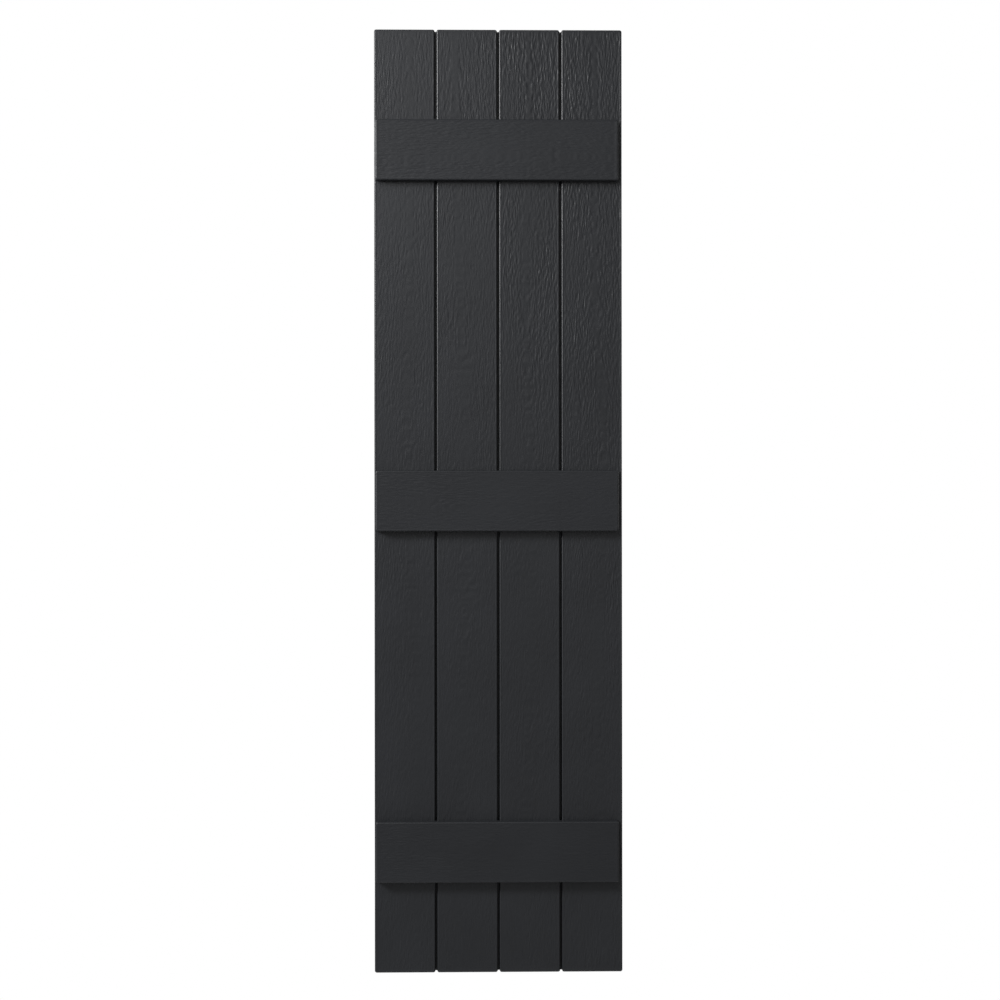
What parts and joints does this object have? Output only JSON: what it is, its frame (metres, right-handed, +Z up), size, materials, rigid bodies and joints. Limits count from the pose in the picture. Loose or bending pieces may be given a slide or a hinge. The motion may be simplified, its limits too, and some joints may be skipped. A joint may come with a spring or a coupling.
{
  "type": "board and batten shutter",
  "caption": "Closed board and batten window shutter: hollow moulded boards side by side, tied by flat battens screwed on from behind.",
  "frame": {"origin": "middle of the back, on the plane that lies against the wall, half way up and half way across", "axes": "+X to the right as seen from the front, +Y into the wall, +Z up along the boards; the front faces -Y"},
  "size_m": [0.381, 0.031, 1.4478],
  "materials": {
    "moulded_plastic": "satin near-black polypropylene, embossed wood grain",
    "screw_steel": "zinc plated"
  },
  "bodies": {
    "root": {"board_1_left": "moulded_plastic", "board_2": "moulded_plastic", "board_3": "moulded_plastic", "board_4_right": "moulded_plastic", "top_batten": "moulded_plastic", "middle_batten": "moulded_plastic", "bottom_batten": "moulded_plastic", "screw_top_1": "screw_steel", "screw_top_2": "screw_steel", "screw_top_3": "screw_steel", "screw_top_4": "screw_steel", "screw_middle_1": "screw_steel", "screw_middle_2": "screw_steel", "screw_middle_3": "screw_steel", "screw_middle_4": "screw_steel", "screw_bottom_1": "screw_steel", "screw_bottom_2": "screw_steel", "screw_bottom_3": "screw_steel", "screw_bottom_4": "screw_steel"}
  },
  "joints": []
}
